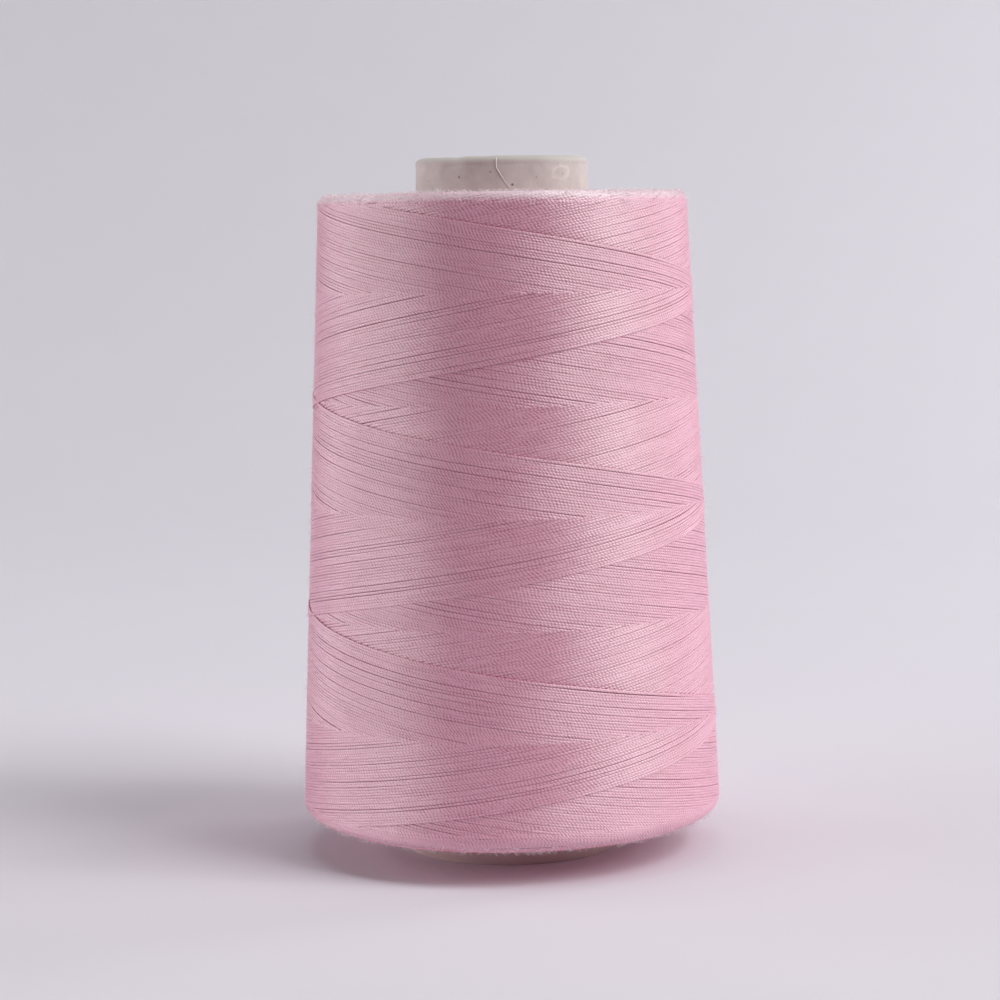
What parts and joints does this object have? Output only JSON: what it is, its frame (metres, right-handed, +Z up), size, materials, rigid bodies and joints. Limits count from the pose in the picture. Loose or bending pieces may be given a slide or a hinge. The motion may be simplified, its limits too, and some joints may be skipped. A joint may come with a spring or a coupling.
{
  "type": "cone of sewing thread",
  "caption": "Tapered package of sewing thread, cross-wound on a hollow paper cone that stands on its wide end and fits over a thread stand's spindle.",
  "frame": {"origin": "middle of the paper cone's flat foot ring, on the surface it stands on", "axes": "+Z up along the cone's axis towards its nose, -Y towards the viewer of the picture, +X to that viewer's right"},
  "size_m": [0.0671, 0.0671, 0.11],
  "materials": {
    "paper_board": "grey-white recycled pulp board, pressed and burnished smooth, matt, with darker pulp specks and a paler rim",
    "spun_thread": "pale pink plied spun thread, wound side by side, softly lustrous across the strands, with a light fuzz"
  },
  "bodies": {
    "root": {"paper_cone": "paper_board", "wound_thread": "spun_thread"}
  },
  "joints": []
}
